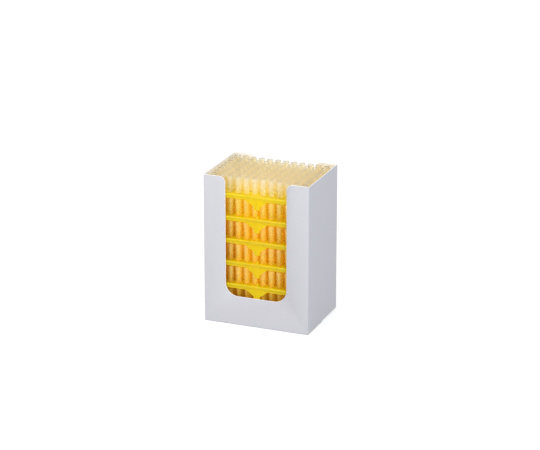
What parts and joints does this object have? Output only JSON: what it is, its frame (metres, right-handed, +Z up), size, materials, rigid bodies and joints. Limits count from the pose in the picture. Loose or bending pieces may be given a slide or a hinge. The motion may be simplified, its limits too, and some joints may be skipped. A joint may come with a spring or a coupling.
{
  "type": "pipette tip box",
  "caption": "Open white folded carton with a window in front, holding a stack of yellow racks of clear plastic pipette tips nested one inside another.",
  "frame": {"origin": "middle of the carton's bottom, on the surface that it stands on", "axes": "+X along the rows of twelve tips, the window faces -Y, +Z up"},
  "size_m": [0.115, 0.082, 0.159],
  "materials": {
    "carton_board": "matte",
    "rack_plastic": "satin",
    "tip_plastic": "satin"
  },
  "bodies": {
    "root": {"carton": "carton_board", "rack_1": "rack_plastic", "rack_2": "rack_plastic", "rack_3": "rack_plastic", "rack_4": "rack_plastic", "rack_5": "rack_plastic", "rack_1_tips_row_a": "tip_plastic", "rack_1_tips_row_b": "tip_plastic", "rack_1_tips_row_c": "tip_plastic", "rack_1_tips_row_d": "tip_plastic", "rack_1_tips_row_e": "tip_plastic", "rack_1_tips_row_f": "tip_plastic", "rack_1_tips_row_g": "tip_plastic", "rack_1_tips_row_h": "tip_plastic", "rack_2_tips_row_a": "tip_plastic", "rack_2_tips_row_b": "tip_plastic", "rack_2_tips_row_c": "tip_plastic", "rack_2_tips_row_d": "tip_plastic", "rack_2_tips_row_e": "tip_plastic", "rack_2_tips_row_f": "tip_plastic", "rack_2_tips_row_g": "tip_plastic", "rack_2_tips_row_h": "tip_plastic", "rack_3_tips_row_a": "tip_plastic", "rack_3_tips_row_b": "tip_plastic", "rack_3_tips_row_c": "tip_plastic", "rack_3_tips_row_d": "tip_plastic", "rack_3_tips_row_e": "tip_plastic", "rack_3_tips_row_f": "tip_plastic", "rack_3_tips_row_g": "tip_plastic", "rack_3_tips_row_h": "tip_plastic", "rack_4_tips_row_a": "tip_plastic", "rack_4_tips_row_b": "tip_plastic", "rack_4_tips_row_c": "tip_plastic", "rack_4_tips_row_d": "tip_plastic", "rack_4_tips_row_e": "tip_plastic", "rack_4_tips_row_f": "tip_plastic", "rack_4_tips_row_g": "tip_plastic", "rack_4_tips_row_h": "tip_plastic", "rack_5_tips_row_a": "tip_plastic", "rack_5_tips_row_b": "tip_plastic", "rack_5_tips_row_c": "tip_plastic", "rack_5_tips_row_d": "tip_plastic", "rack_5_tips_row_e": "tip_plastic", "rack_5_tips_row_f": "tip_plastic", "rack_5_tips_row_g": "tip_plastic", "rack_5_tips_row_h": "tip_plastic"}
  },
  "joints": []
}
